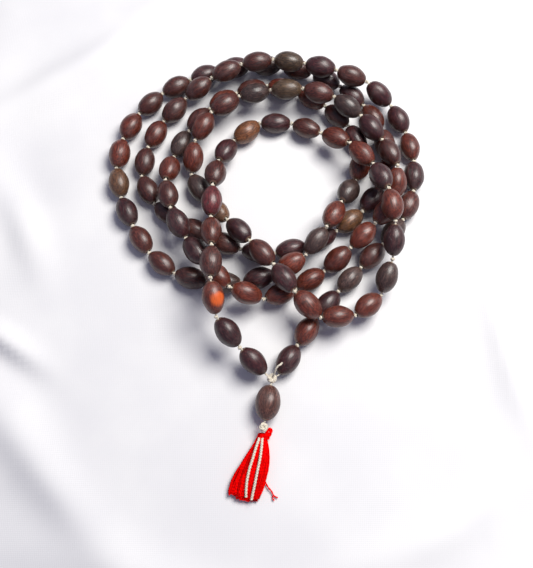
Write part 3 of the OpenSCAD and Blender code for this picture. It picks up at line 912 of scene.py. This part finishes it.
# %% The stray thread and the little loop
start = tassel_at(0.7, 0.0, 0.0)[0] + np.array([0.0066, 0, 0])
start[2] = 0.0005
fork = start + 0.001 * np.array([3.4, -5.4, 0])
stray = smooth_curve(np.array([
    start, start + [0.0012, -0.0022, 0.0003], start + [0.0026, -0.0038, 0.0002], fork,
    fork + [0.0016, -0.0008, 0]]), 5)
cord_piece("stray_thread_curl", stray, 0.00035, "tassel", "tassel", red_cotton, "stray_thread", sides=8)
branch = smooth_curve(np.array([
    fork + [-0.0003, 0, 0], fork + [-0.0004, -0.001, 0], fork + [0.0002, -0.0019, 0]]), 5)
cord_piece("stray_thread_branch", branch, 0.0003, "tassel", "tassel", red_cotton, sides=8)

LOOP_RUN = [(0.7, -3.9, -2.3), (1.0, -2.8, -2.2), (1.4, -1.7, -2.1), (2.0, -0.6, -1.9), (2.7, -0.6, -1.8),
            (2.9, -1.5, -1.9), (2.4, -2.6, -2.1), (1.8, -3.5, -2.3), (1.4, -4.4, -2.6)]
loop_run = smooth_curve(np.array([lower_at + 0.001 * Vector(v) for v in LOOP_RUN]), 4)
cord_piece("tassel_loop_thread", loop_run, 0.0008, "tassel", "tassel", red_cotton, "tassel_loop", sides=10)
print("tassel pieces made")

# %% [markdown]
# ## The table, the light and the last measure
#
# The beads lie on a plain white cotton cloth with a few soft folds. One large soft lamp stands at the
# upper right, so that every seed has a satin highlight there and a soft shadow at the lower left. A
# bluish sky fills in the rest and tints the shadows.

# %% Cloth
FOLDS = [
    # passes through x, y; turn in degrees; height, half width and half length in mm
    (-0.110, -0.035, -22, 4.5, 4.5, 20), (-0.108, -0.046, -22, -2.5, 8, 30),
    (-0.104, 0.012, -50, 4, 8, 35), (-0.095, 0.090, 46, 5.5, 10, 60), (-0.092, -0.084, -38, 5, 10, 50),
    (0.096, -0.020, -67, 6, 8, 50), (0.112, -0.050, -62, -4, 8, 50), (0.100, 0.086, 74, 6, 9, 45),
    (0.052, -0.116, 32, 4.5, 10, 40), (-0.020, -0.140, -12, 5, 12, 70), (0.030, 0.145, 10, 6, 13, 110),
    (-0.150, -0.030, 80, 8, 14, 120), (0.160, 0.030, 84, 8, 14, 120)]


def cloth_height(x, y):
    """Soft folds round the beads; flat, and just below them, where they lie."""
    far = np.clip((np.hypot(x / 0.082, y / 0.115) - 1.0) / 0.35, 0, 1)
    folds = 0.0012 * np.sin(23 * x + 41 * y) + 0.0008 * np.sin(57 * x - 31 * y)
    for at_x, at_y, turn, high, wide, long in FOLDS:
        c, s = math.cos(math.radians(turn)), math.sin(math.radians(turn))
        u, v = (x - at_x) * c + (y - at_y) * s, (y - at_y) * c - (x - at_x) * s
        v = v + 0.006 * np.sin(30 * u)
        folds = folds + 0.001 * high * np.exp(-((v / (0.001 * wide)) ** 2) - (u / (0.001 * long)) ** 2)
    return -0.0004 + far * far * (3 - 2 * far) * folds


even = np.linspace(-1, 1, 261)
side = 0.6 * (0.45 * even + 0.55 * even**3)  # finer near the beads
gx, gy = np.meshgrid(side, side)
gz = cloth_height(gx, gy)
cloth_mesh = bpy.data.meshes.new("cloth")
rows = len(side)
cloth_mesh.from_pydata(
    np.column_stack([gx.ravel(), gy.ravel(), gz.ravel()]).tolist(), [],
    [(r * rows + c, r * rows + c + 1, (r + 1) * rows + c + 1, (r + 1) * rows + c)
     for r in range(rows - 1) for c in range(rows - 1)])
cloth_mesh.polygons.foreach_set("use_smooth", [True] * len(cloth_mesh.polygons))
cloth = bpy.data.objects.new("cloth", cloth_mesh)
bpy.context.scene.collection.objects.link(cloth)
cloth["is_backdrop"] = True
print("cloth from", round(gz.min() * 1000, 2), "to", round(gz.max() * 1000, 2), "mm")

# %% Cloth material
white_cloth, tree, shader = new_material("white_cloth", Roughness=0.95, Sheen_Weight=0.2,
                                         Specular_IOR_Level=0.15)
place = put(tree, "ShaderNodeTexCoord", out="Object")
weave_a, weave_b = (
    put(tree, "ShaderNodeTexWave", {"bands_direction": way},
        {"Vector": place, "Scale": 420.0, "Distortion": 1.2})
    for way in "XY")
# Painted shade: broad soft patches of the cloth are a little darker, standing in for the grey of shaded
# folds.
soft = put(tree, "ShaderNodeTexNoise", feeds={"Vector": place, "Scale": 22.0, "Detail": 3.0})
tone = blend_colours(tree, ramp(tree, soft, 0.35, 0.7), (0.70, 0.70, 0.71, 1), (0.75, 0.75, 0.75, 1))
tree.links.new(tone, shader.inputs["Base Color"])
weave = sums(tree, "MULTIPLY", sums(tree, "ADD", weave_a, weave_b), 0.5)
bump = put(tree, "ShaderNodeBump", feeds={"Height": weave, "Strength": 0.15, "Distance": 0.0002})
tree.links.new(bump, shader.inputs["Normal"])
cloth_mesh.materials.append(white_cloth)

# %% Light
def lamp(name, place, target, size, energy, colour):
    data = bpy.data.lights.new(name, "AREA")
    data.size, data.energy, data.color = size, energy, colour
    ob = bpy.data.objects.new(name, data)
    bpy.context.scene.collection.objects.link(ob)
    ob.location = place
    ob.rotation_euler = (Vector(target) - Vector(place)).to_track_quat("-Z", "Y").to_euler()


lamp("window", (0.22, 0.17, 0.52), (0, 0, 0), 0.33, 5.4, (1.0, 0.975, 0.93))
world = bpy.data.worlds.new("sky")
bpy.context.scene.world = world
world.use_nodes = True
world.node_tree.nodes["Background"].inputs["Color"].default_value = (0.70, 0.71, 1.0, 1)
world.node_tree.nodes["Background"].inputs["Strength"].default_value = 0.31
bpy.context.scene.view_settings.view_transform = "Standard"

# %% Measure and finish
for pattern in (seed_pattern, small_knot):
    bpy.data.objects.remove(pattern)
low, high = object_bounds()
